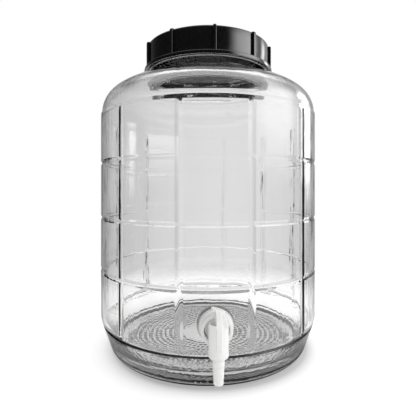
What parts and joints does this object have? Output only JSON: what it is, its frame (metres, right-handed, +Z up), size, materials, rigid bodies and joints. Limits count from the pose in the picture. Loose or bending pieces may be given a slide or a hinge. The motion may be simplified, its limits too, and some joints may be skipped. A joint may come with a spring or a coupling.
{
  "type": "wide-mouth glass carboy with spigot",
  "caption": "Free-standing wide-mouth clear glass jar with a pressed grid, a black ribbed screw cap and a white turning spigot with a hose tail low on the front.",
  "frame": {"origin": "on the jar's axis, on the surface that it stands on", "axes": "+Z up along the jar's axis; the spigot faces -Y; +X to the right seen from the front"},
  "size_m": [0.282, 0.3198, 0.393],
  "materials": {
    "clear_glass": "pressed and fire-polished, with stippled underside",
    "black_plastic": "gloss moulded",
    "liner_foam": "matt",
    "white_plastic": "satin moulded",
    "washer_rubber": "matt"
  },
  "bodies": {
    "jar": {"glass_jar": "clear_glass", "spigot_body": "white_plastic", "outer_washer": "washer_rubber", "inner_washer": "washer_rubber", "lock_nut": "white_plastic"},
    "liner": {"cap_liner": "liner_foam"},
    "cap": {"screw_cap": "black_plastic"},
    "tap": {"spigot_tap": "white_plastic"}
  },
  "joints": [
    {"name": "cap_rise", "type": "slide", "parent": "jar", "child": "liner", "axis": [0, 0, 1], "range_m": [0, 0.0271]},
    {"name": "cap_turn", "type": "hinge", "parent": "liner", "child": "cap", "pos_m": [0, 0, 0.387], "axis": [0, 0, 1], "range_deg": [0, 1080]},
    {"name": "tap_turn", "type": "hinge", "parent": "jar", "child": "tap", "pos_m": [0, -0.1696, 0.0705], "axis": [0, -1, 0], "range_deg": [-90, 90]}
  ],
  "couplings": [
    {"joint": "cap_rise", "follows": "cap_turn", "m_per_rad": 0.0014324}
  ]
}
